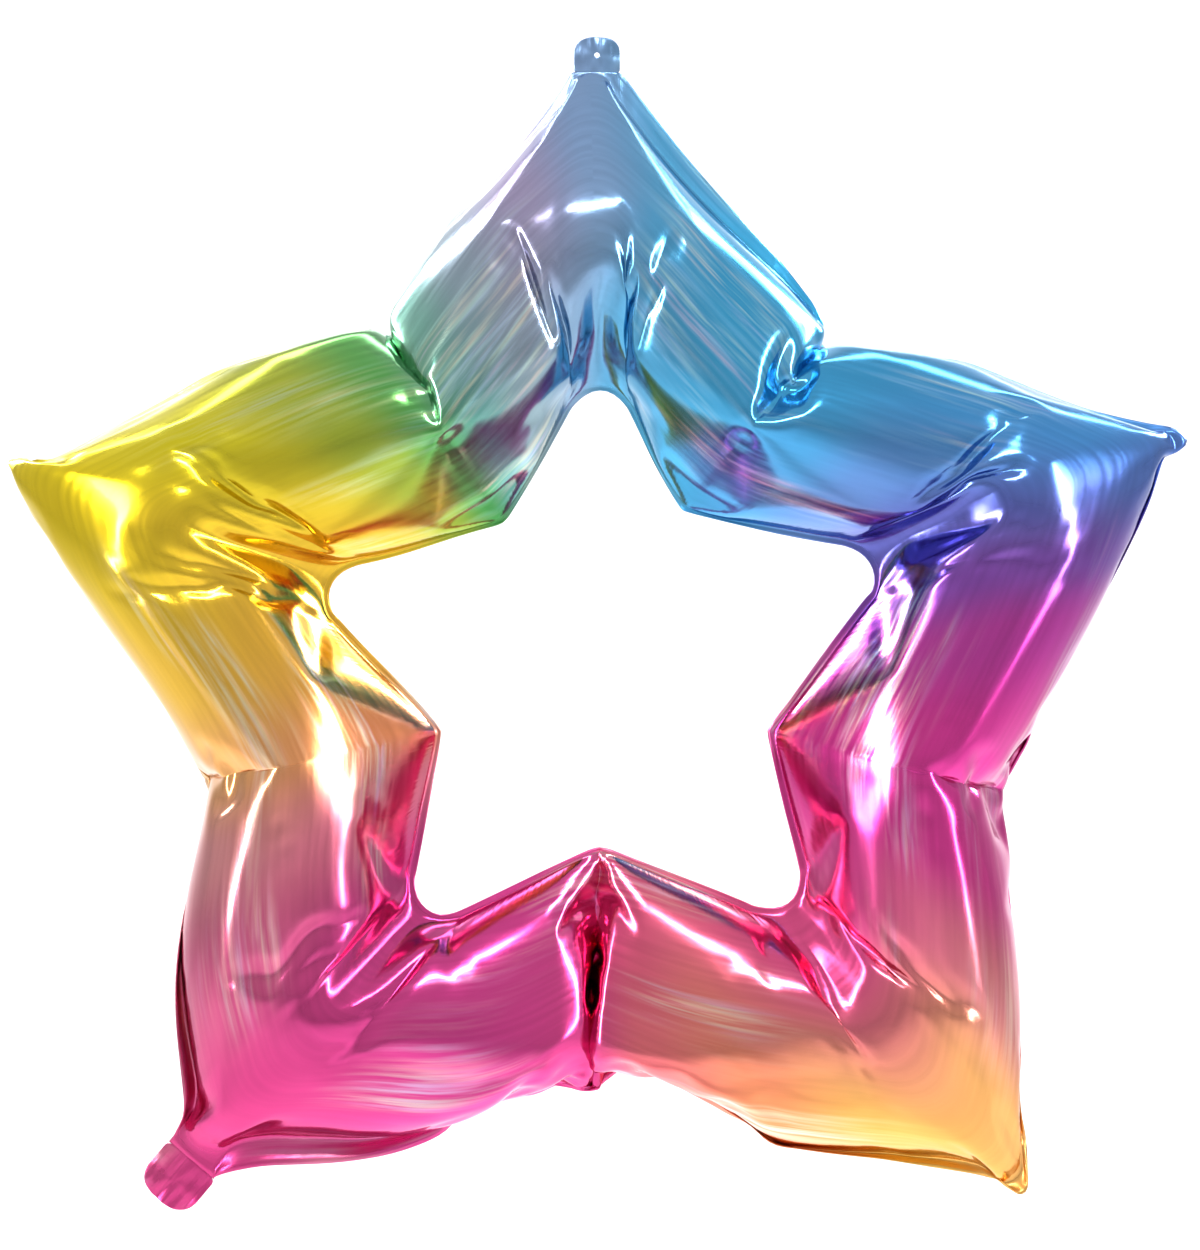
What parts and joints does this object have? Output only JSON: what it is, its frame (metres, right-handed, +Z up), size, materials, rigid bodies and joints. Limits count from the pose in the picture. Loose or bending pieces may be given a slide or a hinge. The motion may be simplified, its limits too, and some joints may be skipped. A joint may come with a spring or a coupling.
{
  "type": "star ring foil balloon",
  "caption": "Inflated open-centre star balloon of welded metallised film, with a hanging tab at the top tip and a self-sealing filling neck at a lower tip.",
  "frame": {"origin": "centre of the hanging hole in the top tab, on the weld plane between the two film panels", "axes": "+Z up towards the top tip, +X to the right as seen from the front, +Y through the thickness from front to back; the balloon's front faces -Y"},
  "size_m": [1.1912, 0.212, 1.1729],
  "materials": {
    "front_film": "mirror-bright metallised film with a rainbow gradient that runs round the star and fine holographic streaks",
    "back_film": "mirror-bright metallised film with a rainbow gradient that runs round the star and fine holographic streaks",
    "valve_film": "milky translucent polyethylene film"
  },
  "bodies": {
    "hang_tab": {"hang_tab_front_ply": "front_film", "hang_tab_back_ply": "back_film"},
    "star": {"front_foil": "front_film", "back_foil": "back_film", "valve_front_film": "valve_film", "valve_back_film": "valve_film"},
    "neck": {"neck_front_ply": "front_film", "neck_back_ply": "back_film"},
    "valve_flap": {"valve_flap": "valve_film"}
  },
  "joints": [
    {"name": "hang_tab_fold", "type": "hinge", "parent": "hang_tab", "child": "star", "pos_m": [0, 0, -0.017], "axis": [1, 0, 0], "range_deg": [-90, 90]},
    {"name": "neck_fold", "type": "hinge", "parent": "star", "child": "neck", "pos_m": [-0.40544, 0, -1.1058], "axis": [0.762, 0, -0.6476], "range_deg": [-90, 90]},
    {"name": "valve_lift", "type": "hinge", "parent": "star", "child": "valve_flap", "pos_m": [-0.36529, 0, -1.05856], "axis": [0.762, 0, -0.6476], "range_deg": [0, 8], "stiffness_Nm_per_rad": 0.002}
  ]
}
